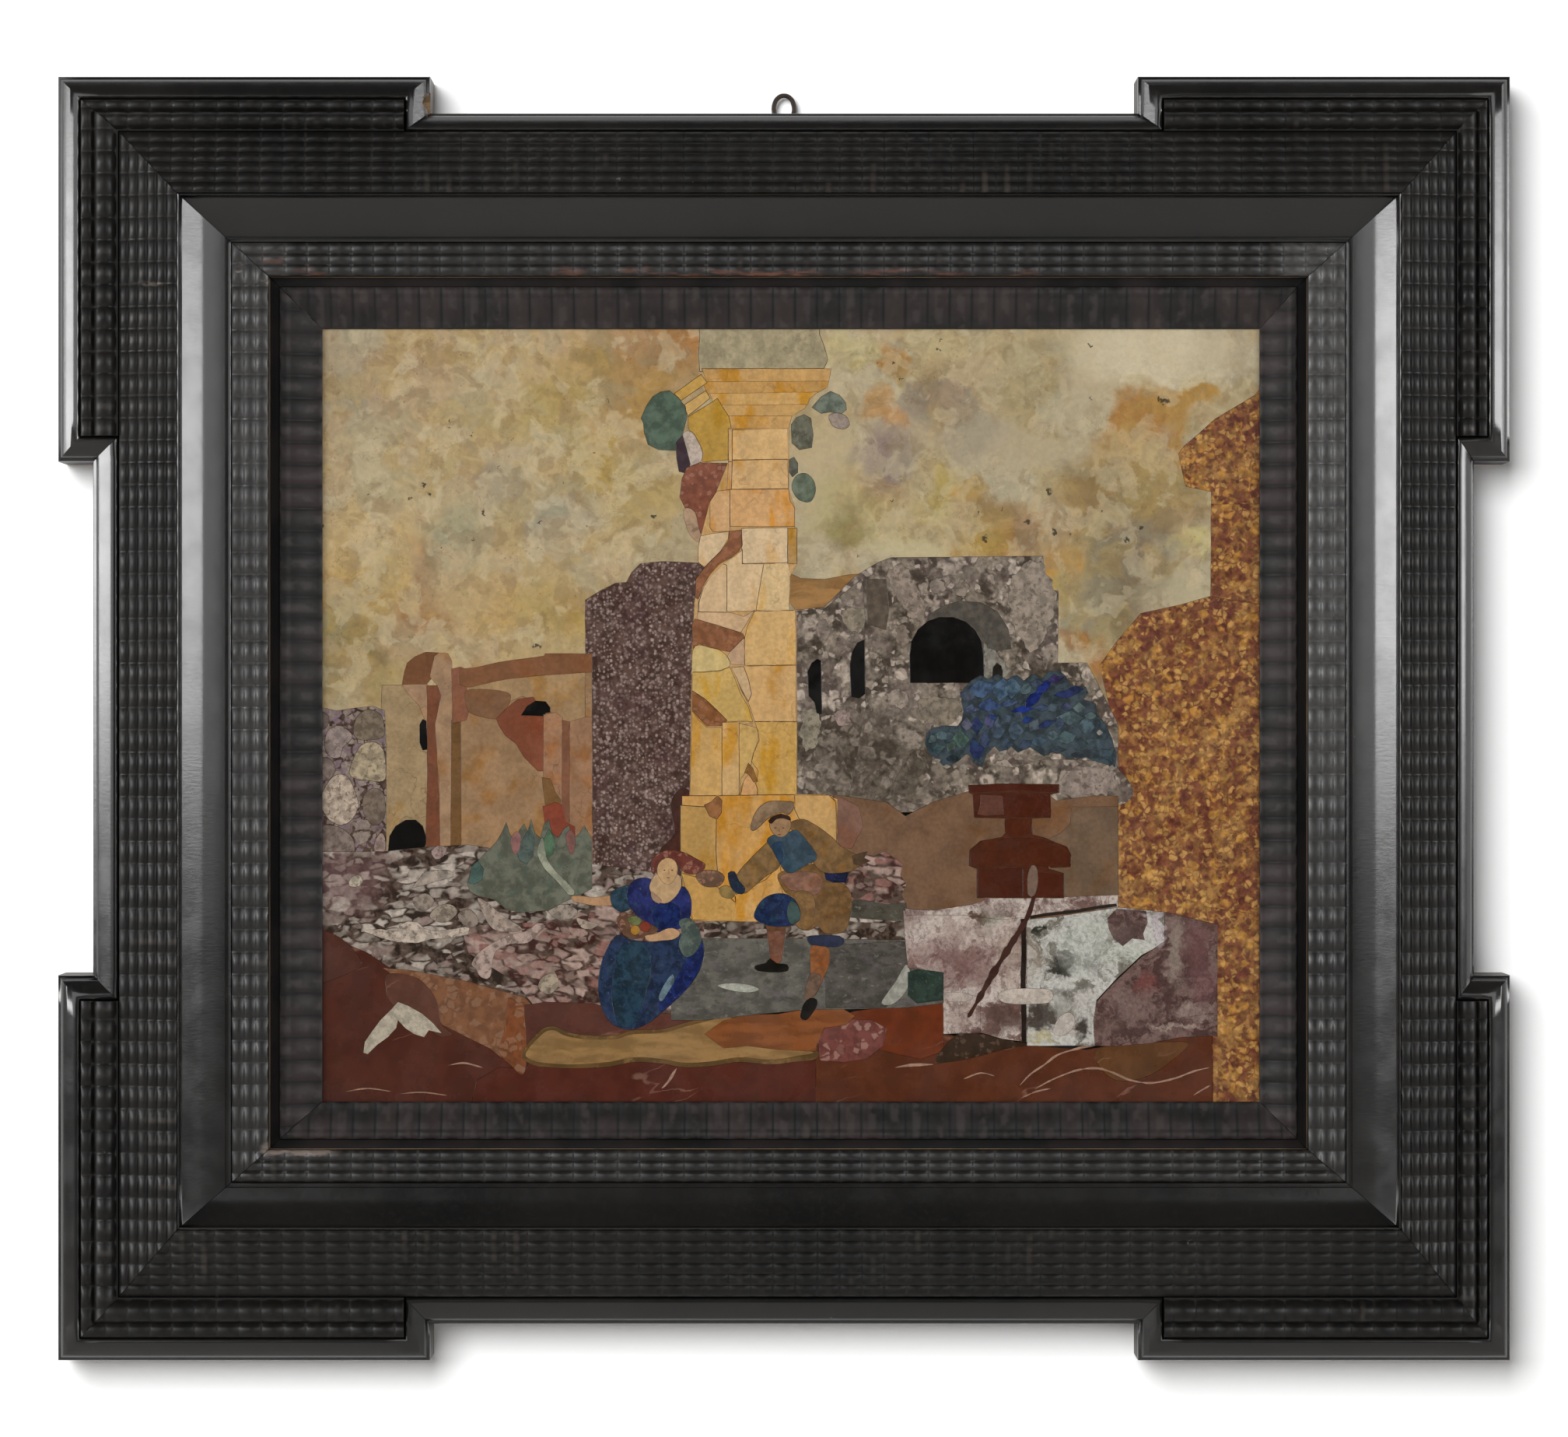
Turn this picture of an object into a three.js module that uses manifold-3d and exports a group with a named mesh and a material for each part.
// A stone mosaic panel in an ebonised ripple frame with four eared corners.
// Millimetres, +Z up, +X to the viewer's right, picture facing -Y, wall plane at y = 0.
// The origin is where a wall hook bears inside the hanging loop.
import * as THREE from "three";
import { mergeVertices } from "three/addons/utils/BufferGeometryUtils.js";
import Module from "manifold-3d";

const wasm = await Module();
wasm.setup();

// ---- driving dimensions ----------------------------------------------------
const HALF_W = 280; // half the width over the ears
const HALF_H = 247.5; // half the height over the ears
const CENTRE_Z = -241.6; // frame centre below the hook's bearing point
const EAR_H = 143.5; // length of an ear along the top and bottom
const EAR_V = 148.5; // length of an ear along the two sides
const EAR_BEAD = 9.3; // width of the polished edge bead on the ears
const GAP = 0.3; // clearance between pieces that touch
// Distances in from the ear edge to each moulding boundary, side by side:
// ear edge, plain edge, fine ripple, hollow, fillet, inner ripple, step, sight, picture.
const OFF = {
  left: [0, 13.5, 24.3, 47.4, 64.7, 67.1, 81.3, 84.9, 101.1],
  right: [0, 13.9, 21.6, 43.5, 61.1, 63.5, 78.0, 81.6, 95.7],
  top: [0, 15.0, 21.9, 46.2, 62.0, 64.1, 77.1, 80.7, 96.6],
  bottom: [0, 14.1, 25.2, 51.6, 66.7, 68.8, 81.3, 84.9, 99.0],
};
const REBATE = 5; // how far the sight moulding laps over the stone
// Heights above the wall plane.
const CARCASS_H = 19.7; // softwood under the bead and fine ripple
const CARCASS_LOW = 17.7; // softwood under the hollow and inner ripple
const STONE_TOP = 12;
const STONE_THICK = 4;
const SLATE_THICK = 6.2;
const BEAD_FOOT = CARCASS_H + GAP;
const LOW_FOOT = CARCASS_LOW + GAP;
const FINE_OUT = 29.6; // fine ripple band, outer edge
const FINE_IN = 35.6; // fine ripple band, inner edge
const FINE_RIDGES = 6;
const RIDGE = 0.9; // height of a ripple ridge
const HOLLOW_FLOOR = 23.2;
const INNER_H = 24.4;
const SIGHT_H = 18.2; // sight moulding, outer edge
const SIGHT_LIP = 13.8; // sight moulding, at the picture
// Hanging loop.
const LOOP_WIRE = 0.95; // wire radius
const LOOP_HALF = 3.95; // half width on the wire's centre line
const LOOP_LEG = 2.7; // half distance between the legs at the rail
const LOOP_Y = -2.6; // plane of the loop, in from the wall
const LOOP_INTO = 12; // depth of the legs in the rail

// ---- materials ---------------------------------------------------------------
const mat = (color, roughness, metalness = 0) =>
  new THREE.MeshStandardMaterial({ color, roughness, metalness });
const EBONISED = mat(0x1d1b1a, 0.35);
const PINE = mat(0x7a5a3c, 0.8);
const SLATE = mat(0x3f4244, 0.8);
const IRON = mat(0x3a322d, 0.6, 0.9);

const group = new THREE.Group();
group.name = "mosaic_panel";

// ---- helpers -----------------------------------------------------------------
const lerp = (a, b, t) => a + (b - a) * t;

// Piecewise-linear map from one side's offsets to another's, so that mitres meet.
function across(from, to, v) {
  const a = OFF[from], b = OFF[to];
  let k = 1;
  while (k < a.length - 1 && v > a[k]) k++;
  return lerp(b[k - 1], b[k], (v - a[k - 1]) / (a[k] - a[k - 1]));
}

function toSolid(geometry) {
  const g = geometry.index ? geometry.toNonIndexed() : geometry.clone();
  g.deleteAttribute("normal");
  g.deleteAttribute("uv");
  const p = g.getAttribute("position");
  // Turn the faces outwards if the mapping mirrored them.
  let volume = 0;
  const a = new THREE.Vector3(), b = new THREE.Vector3(), c = new THREE.Vector3();
  for (let i = 0; i < p.count; i += 3) {
    a.fromBufferAttribute(p, i);
    b.fromBufferAttribute(p, i + 1);
    c.fromBufferAttribute(p, i + 2);
    volume += a.dot(b.clone().cross(c));
  }
  if (volume < 0)
    for (let i = 0; i < p.count; i += 3) {
      b.fromBufferAttribute(p, i + 1);
      c.fromBufferAttribute(p, i + 2);
      p.setXYZ(i + 1, c.x, c.y, c.z);
      p.setXYZ(i + 2, b.x, b.y, b.z);
    }
  const m = mergeVertices(g, 1e-3);
  return new wasm.Manifold(
    new wasm.Mesh({
      numProp: 3,
      vertProperties: m.getAttribute("position").array,
      triVerts: new Uint32Array(m.index.array),
    }),
  );
}

function toGeometry(solid) {
  const m = solid.getMesh();
  const p = new Float32Array(m.numVert * 3);
  for (let i = 0; i < m.numVert; i++)
    p.set(m.vertProperties.subarray(i * m.numProp, i * m.numProp + 3), i * 3);
  const g = new THREE.BufferGeometry();
  g.setAttribute("position", new THREE.BufferAttribute(p, 3));
  g.setIndex(new THREE.BufferAttribute(new Uint32Array(m.triVerts), 1));
  g.computeVertexNormals();
  return g;
}

function add(name, solid, material) {
  const parts = solid.decompose();
  const biggest = parts.reduce((p, q) => (q.volume() > p.volume() ? q : p));
  const mesh = new THREE.Mesh(toGeometry(biggest), material);
  mesh.name = name;
  mesh.position.z = CENTRE_Z;
  group.add(mesh);
  return biggest;
}

// A closed section run through stations 0 to runs: place(s, h, t) puts each section point.
function loft(section, place, runs = 1) {
  const shape = new THREE.Shape(section.map(([s, h]) => new THREE.Vector2(s, h)));
  const g = new THREE.ExtrudeGeometry(shape, { depth: runs, steps: runs, bevelEnabled: false });
  const p = g.getAttribute("position");
  for (let i = 0; i < p.count; i++) {
    const q = place(p.getX(i), p.getY(i), p.getZ(i));
    p.setXYZ(i, q[0], q[1], q[2]);
  }
  return toSolid(g);
}

// A flat plate with an outline in the picture plane, between two heights.
function plate(outline, low, high) {
  const shape = new THREE.Shape(outline.map(([x, z]) => new THREE.Vector2(x, z)));
  const g = new THREE.ExtrudeGeometry(shape, { depth: high - low, bevelEnabled: false });
  const p = g.getAttribute("position");
  for (let i = 0; i < p.count; i++)
    p.setXYZ(i, p.getX(i), -(low + p.getZ(i)), p.getY(i));
  return toSolid(g);
}

// Where a point of a rail lies: a along the rail, v in from the ear edge, h off the wall.
const AT = {
  top: (a, v, h) => [a, -h, HALF_H - v],
  bottom: (a, v, h) => [a, -h, -HALF_H + v],
  left: (a, v, h) => [-HALF_W + v, -h, a],
  right: (a, v, h) => [HALF_W - v, -h, a],
};
const ENDS = {
  top: ["left", "right", HALF_W],
  bottom: ["left", "right", HALF_W],
  left: ["bottom", "top", HALF_H],
  right: ["bottom", "top", HALF_H],
};
const MITRE = GAP * 0.75;

// A full-length strip between mitres. The section is given in real v and h.
function strip(side, section) {
  const [first, last, half] = ENDS[side];
  return loft(section, (v, h, t) => {
    const a0 = -half + across(side, first, v) + MITRE;
    const a1 = half - across(side, last, v) - MITRE;
    return AT[side](lerp(a0, a1, t), v, h);
  });
}

// ---- sections ----------------------------------------------------------------
const BEAD = [
  [0, BEAD_FOOT], [1, BEAD_FOOT], [1, 27.4], [0.93, 28.4], [0.8, 28.7],
  [0.62, 28.3], [0.44, 27.2], [0.28, 25.4], [0.16, 23.4], [0.14, 22.4], [0, 22],
];
const EAR_RIPPLE = [
  [0, BEAD_FOOT], [1, BEAD_FOOT], [1, 28.4], [0.93, 28.9], [0.89, 30.2],
  [0.78, 31.7], [0.64, 32.2], [0.5, 31.7], [0.39, 30.2], [0.35, 28.8],
  [0.29, 29.4], [0.08, 29.4], [0, 28.6],
];
function ridged(v0, v1, foot, h0, h1, count, bulge = 0) {
  const pts = [[v0, foot], [v1, foot]];
  for (let i = count - 1; i >= 0; i--)
    for (const [f, up] of [[1, 0], [0.74, 1], [0.32, 1]]) {
      const s = (i + f) / count;
      const h = lerp(h0, h1, s) + bulge * Math.sin(Math.PI * s);
      pts.push([lerp(v0, v1, s), h + up * RIDGE]);
    }
  pts.push([v0, h0]);
  return pts;
}
function hollow(v0, v1, v2) {
  const pts = [[v0, LOW_FOOT], [v2, LOW_FOOT], [v2, INNER_H - 0.2], [v1, INNER_H - 0.2]];
  const steps = 8, rise = FINE_IN - 0.4 - HOLLOW_FLOOR;
  for (let i = steps; i >= 0; i--) {
    const s = Math.sin((i / steps) * Math.PI * 0.5); // crowd the points where it is steep
    const u = 1 - Math.cos((i / steps) * Math.PI * 0.5);
    pts.push([lerp(v0, v1, u), HOLLOW_FLOOR + rise * (1 - s)]);
  }
  return pts;
}

// ---- the four rails and what is glued to them -----------------------------------
const G2 = GAP / 2;
const carcass = {};
for (const side of ["top", "bottom", "left", "right"]) {
  const o = OFF[side];
  const inner = o[8] - REBATE;
  carcass[side] = strip(side, [
    [o[1] + 0.01, 0], [inner, 0], [inner, STONE_TOP], [o[6], STONE_TOP],
    [o[6], CARCASS_LOW], [o[3], CARCASS_LOW], [o[3], CARCASS_H], [o[1] + 0.01, CARCASS_H],
  ]);
  add("fine_ripple_" + side,
    strip(side, ridged(o[2] + G2, o[3] - G2, BEAD_FOOT, FINE_OUT, FINE_IN, FINE_RIDGES, 0.8)), EBONISED);
  add("hollow_" + side, strip(side, hollow(o[3] + G2, o[4], o[5] - G2)), EBONISED);
  add("inner_ripple_" + side,
    strip(side, ridged(o[5] + G2, o[6] - G2, LOW_FOOT, INNER_H, INNER_H - 0.2, 3)), EBONISED);
  add("sight_moulding_" + side, strip(side, [
    [o[6] + G2, STONE_TOP + GAP], [o[8], STONE_TOP + GAP], [o[8], SIGHT_LIP],
    [lerp(o[7], o[8], 0.8), SIGHT_LIP + 0.6], [lerp(o[7], o[8], 0.5), SIGHT_LIP + 2.3],
    [lerp(o[7], o[8], 0.3), SIGHT_H - 1], [lerp(o[7], o[8], 0.22), SIGHT_H],
    [o[7], SIGHT_H], [o[7], SIGHT_H - 1.8], [o[6] + G2, SIGHT_H - 1.8],
  ]), EBONISED);
}

// Plain edge beads between the ears, mitred into the ear returns.
for (const side of ["top", "bottom", "left", "right"]) {
  const o = OFF[side];
  const half = ENDS[side][2], ear = side === "top" || side === "bottom" ? EAR_H : EAR_V;
  add("edge_bead_" + side, loft(BEAD, (s, h, t) => {
    const end = half - ear + s * EAR_BEAD - MITRE;
    return AT[side](lerp(-end, end, t), lerp(o[1], o[2] - G2, s), h);
  }), EBONISED);
}

// The break in the upper left ear: a ragged bite out of the bead where it turns in.
function bite() {
  const cx = -HALF_W + EAR_H + 1.2, cz = HALF_H - 12.2;
  const pts = [];
  const n = 14;
  for (let i = 0; i < n; i++) {
    const a = (i / n) * 2 * Math.PI;
    const r = 4.6 + 0.9 * Math.sin(3 * a + 0.7) + 0.5 * Math.sin(5 * a);
    pts.push([cx + 0.8 * r * Math.cos(a), cz + 1.35 * r * Math.sin(a)]);
  }
  return plate(pts, 16, 40);
}
const broken = bite();

// Ears: batten, bead with its two returns, and wide ripple, each an L round the corner.
const CORNERS = {
  top_left: [-1, 1, "left", "top"],
  top_right: [1, 1, "right", "top"],
  bottom_left: [-1, -1, "left", "bottom"],
  bottom_right: [1, -1, "right", "bottom"],
};
for (const [corner, [sx, sz, sideX, sideZ]] of Object.entries(CORNERS)) {
  const ox = OFF[sideX], oz = OFF[sideZ];
  const at = (dx, dz, h) => [sx * (HALF_W - dx), -h, sz * (HALF_H - dz)];
  const flat = (dx, dz) => { const q = at(dx, dz, 0); return [q[0], q[2]]; };
  // batten
  const bx = ox[1] - GAP, bz = oz[1] - GAP;
  add("ear_batten_" + corner, plate([
    flat(0, 0), flat(EAR_H, 0), flat(EAR_H, bz), flat(bx, bz), flat(bx, EAR_V), flat(0, EAR_V),
  ], 0, CARCASS_H), PINE);
  // bead
  // one run round the corner, with a station at each mitre
  const bead = loft(BEAD, (s, h, t) => {
    const w = s * EAR_BEAD;
    return [
      at(lerp(ox[1], ox[2] - G2, s) - MITRE, EAR_V - w, h),
      at(w, EAR_V - w, h),
      at(w, w, h),
      at(EAR_H - w, w, h),
      at(EAR_H - w, lerp(oz[1], oz[2] - G2, s) - MITRE, h),
    ][Math.round(t)];
  }, 4);
  add("ear_bead_" + corner, corner === "top_left" ? bead.subtract(broken) : bead, EBONISED);
  // wide ripple
  const first = EAR_BEAD + GAP;
  add("ear_ripple_" + corner, loft(EAR_RIPPLE, (s, h, t) => {
    const vx = lerp(first, ox[2] - GAP, s), vz = lerp(first, oz[2] - GAP, s);
    return [at(vx, EAR_V - first, h), at(vx, vz, h), at(EAR_H - first, vz, h)][Math.round(t)];
  }, 2), EBONISED);
}

// ---- hanging loop ---------------------------------------------------------------
const railTop = HALF_H - OFF.top[1]; // upper edge of the top rail, from the centre
const loopTop = -CENTRE_Z + LOOP_WIRE; // centre line at the crown
const loopPts = [];
for (const [x, z] of [
  [-LOOP_LEG, railTop - LOOP_INTO], [-LOOP_LEG, railTop - 4], [-LOOP_LEG - 0.1, railTop],
  [-LOOP_HALF + 0.25, railTop + 2.6], [-LOOP_HALF, loopTop - 4.6], [-LOOP_HALF + 0.75, loopTop - 2],
  [-LOOP_HALF + 2.3, loopTop - 0.42], [0, loopTop],
]) loopPts.push(new THREE.Vector3(x, LOOP_Y, z));
for (let i = loopPts.length - 2; i >= 0; i--)
  loopPts.push(new THREE.Vector3(-loopPts[i].x, LOOP_Y, loopPts[i].z));
const ring = (r, n) => {
  const s = new THREE.Shape();
  for (let i = 0; i < n; i++) {
    const a = ((i + 0.5) / n) * 2 * Math.PI;
    if (i) s.lineTo(r * Math.cos(a), r * Math.sin(a));
    else s.moveTo(r * Math.cos(a), r * Math.sin(a));
  }
  s.closePath();
  return s;
};
add("hanging_loop", toSolid(new THREE.ExtrudeGeometry(ring(LOOP_WIRE, 10), {
  steps: 44, bevelEnabled: false, extrudePath: new THREE.CatmullRomCurve3(loopPts, false, "centripetal"),
})), IRON);

// Two drilled holes take the legs.
for (const sx of [-1, 1]) {
  const drill = new THREE.ExtrudeGeometry(ring(LOOP_WIRE + GAP + 0.15, 12), { depth: LOOP_INTO + 6, bevelEnabled: false });
  drill.translate(sx * LOOP_LEG, LOOP_Y, railTop - LOOP_INTO - 0.6);
  carcass.top = carcass.top.subtract(toSolid(drill));
}
for (const side of ["top", "bottom", "left", "right"])
  add("rail_" + side, carcass[side], PINE);

// ---- slate and stones -----------------------------------------------------------
const PLATE_IN = REBATE - GAP;
const PX0 = -HALF_W + OFF.left[8] - PLATE_IN, PX1 = HALF_W - OFF.right[8] + PLATE_IN;
const PZ0 = -HALF_H + OFF.bottom[8] - PLATE_IN, PZ1 = HALF_H - OFF.top[8] + PLATE_IN;
const STONE_FOOT = STONE_TOP - STONE_THICK;
add("slate_back", plate([[PX0, PZ0], [PX1, PZ0], [PX1, PZ1], [PX0, PZ1]],
  STONE_FOOT - GAP - SLATE_THICK, STONE_FOOT - GAP), SLATE);

// Outline helpers, in millimetres from the frame's centre.
const box = (x0, z0, x1, z1) => [[x0, z0], [x1, z0], [x1, z1], [x0, z1]];
function turned(cx, levels) { // a symmetrical outline from half-widths, bottom to top
  const right = levels.map(([hw, z]) => [cx + hw, z]);
  const left = levels.map(([hw, z]) => [cx - hw, z]).reverse();
  return [...right, ...left];
}
function tuft(cx, cz, rx, rz, spikes, depth, from = 0, to = 2 * Math.PI) { // leafy outline
  const pts = [];
  for (let i = 0; i < spikes * 2; i++) {
    const a = lerp(from, to, i / (spikes * 2));
    const r = i % 2 ? 1 - depth * (0.75 + 0.25 * Math.sin(5 * i)) : 1 - 0.08 * Math.sin(7 * i);
    pts.push([cx + rx * r * Math.cos(a), cz + rz * r * Math.sin(a)]);
  }
  return pts;
}
// Push an outline outwards by d, with limited mitres.
function grow(outline, d) {
  let area = 0;
  const n = outline.length;
  for (let i = 0; i < n; i++) {
    const [x0, z0] = outline[i], [x1, z1] = outline[(i + 1) % n];
    area += x0 * z1 - x1 * z0;
  }
  const sign = area > 0 ? 1 : -1;
  return outline.map(([x, z], i) => {
    const [xa, za] = outline[(i + n - 1) % n], [xb, zb] = outline[(i + 1) % n];
    const la = Math.hypot(x - xa, z - za), lb = Math.hypot(xb - x, zb - z);
    const na = [(z - za) / la, -(x - xa) / la], nb = [(zb - z) / lb, -(xb - x) / lb];
    const mx = na[0] + nb[0], mz = na[1] + nb[1], ml = Math.hypot(mx, mz) || 1;
    const k = Math.min(2.2, 2 / Math.max(ml, 0.2)) * (d / ml) * sign;
    return [x + mx * k, z + mz * k];
  });
}

const COLUMN_L = -35, COLUMN_R = 4.8; // lower shaft edges
const STONES = [
  ["sky_stone_left", box(PX0, 0, -20, PZ1), 0xa3977a, 0.25],
  ["sky_stone_right", box(-5, 8, PX1, PZ1), 0xb4ab8c, 0.25],
  ["cliff_breccia", [
    [PX1, 132], [183, 125], [154.5, 106.5], [153.5, 90.5], [165.5, 88], [165.5, 47], [138.5, 41],
    [122.5, 20.5], [128.5, -8.5], [128.5, -71], [166, -79], [166, PZ0], [PX1, PZ0],
  ], 0xa86a35, 0.25],
  ["ruin_breccia", [
    [2, 40], [27.5, 56], [41.5, 62], [100.5, 62.7], [101.5, 50], [106.5, 49], [106, 15],
    [129, 12], [129, -40], [2, -40],
  ], 0x6f6a64, 0.25],
  ["tan_wall_stone", [[20, -31], [70, -36], [129, -34], [129, -74], [46, -74], [46, -80], [10, -80], [10, -31]], 0x7d614a, 0.25],
  ["porphyry_wall", [[-76.8, -62], [-76.8, 46], [-65.5, 53], [-57, 60], [-30, 60.3], [-30, -62]], 0x55423f, 0.25],
  ["house_stone", [
    [-155, 13], [-148, 13], [-146, 21], [-141, 25.5], [-134, 25.5], [-128, 18], [-77, 24.6],
    [-77, -50], [-155, -50],
  ], 0x9a7f5c, 0.25],
  ["boulder_wall_stone", [[PX0, 4], [-170, 6], [-155, 2], [-155, -53], [PX0, -53]], 0x7c7370, 0.25],
  ["red_ground_marble", [[PX0, -86], [-130, -106], [60, -106], [60, -122], [166, -120], [166, PZ0], [PX0, PZ0]], 0x4b261e, 0.25],
  ["breccia_ground", [
    [PX0, -52], [-76, -49], [-30, -60], [46, -77], [46, -86], [-40, -86], [-47, -112], [-110, -112],
    [-155, -98], [PX0, -90],
  ], 0x7d6f66, 0.25],
  ["water_marble", [[-45, -83], [58, -83], [61.5, -111], [10, -114.5], [-47, -112]], 0x4a5048, 0.25],
  ["green_bush_stone", [[-126, -73], ...tuft(-101, -66, 27, 27, 9, 0.3, Math.PI, 0), [-76, -73]], 0x4a5a4c, 0.25],
  ["blue_bush_stone", tuft(92, -1, 36, 20, 12, 0.24), 0x33507a, 0.2],
  ["column_plinth", [[-39.5, -29.5], [17.5, -29.5], [20, -33], [20, -77], [-39.5, -77]], 0xb08a4e, 0.25],
  ["column_shaft", [
    [COLUMN_L, -29.2], [COLUMN_L, 50], [-33, 76], [-26, 97], [-21.5, 112], [3.6, 112],
    [4.2, 60], [COLUMN_R, 20], [COLUMN_R, -29.2],
  ], 0xc8a56e, 0.25],
  ["column_capital", [
    [-21.5, 112.3], [-24, 121], [-36, 126], [-38, 131], [-31.5, 135], [18, 135], [18.5, 131],
    [13, 124], [8, 119.5], [3.6, 112.3],
  ], 0xc2a05f, 0.25],
  ["column_drum", turned(-8.4, [[22.6, 135.3], [25.2, 141], [25.4, 147], [23, 152], [22, PZ1]]), 0x83837a, 0.25],
  ["ochre_bank_stone", [
    [-100, -130], [-97, -118], [-62, -116.5], [-35, -119], [0, -113.5], [22, -112.5], [20, -124],
    [-20, -126], [-62, -132],
  ], 0x96713b, 0.25],
  ["white_violet_blocks", [[47, -72.2], [96, -70.2], [129, -72.2], [167, -77], [167, -123], [147, -127], [61, -127], [61, -88], [47, -84]], 0xb5a9a5, 0.2],
  ["urn_stone", turned(91, [
    [17, -69], [16.5, -57.8], [19.5, -57.5], [19.5, -46.5], [6, -45.5], [5.2, -39], [15, -38.2],
    [15.2, -29.5], [17.4, -29], [17.4, -25.8],
  ]), 0x54221d, 0.25],
  ["seated_woman_stone", [
    [-47, -56], [-41, -60], [-40, -66], [-35, -74], [-35, -79], [-31.5, -86], [-31, -94], [-38, -108],
    [-50, -118], [-64, -119], [-72, -113], [-71, -97], [-64, -84], [-61, -72], [-79, -72], [-81, -69],
    [-66, -65], [-52, -62.5], [-51, -58],
  ], 0x27407a, 0.2],
  ["seated_man_stone", [
    [-12, -34], [-4, -31], [2, -34], [4, -40], [12, -46], [23, -53], [25, -57], [13, -60], [22, -66],
    [23, -80], [20, -90], [11, -92], [12, -112], [5, -114], [3, -108], [1, -86], [-3, -93], [-10, -94],
    [-9, -79], [-14, -72], [-13, -65], [-23, -62], [-26, -58], [-15, -56], [-9, -49], [-7, -42],
  ], 0x5f5134, 0.3],
];
// Later stones in the list are let into the earlier ones, with a joint all round.
STONES.forEach(([name, outline, colour, rough], i) => {
  let solid = plate(outline, STONE_FOOT, STONE_TOP);
  for (const [, above] of STONES.slice(i + 1))
    solid = solid.subtract(plate(grow(above, GAP), STONE_FOOT - 1, STONE_TOP + 1));
  add(name, solid, mat(colour, rough));
});

export default group;
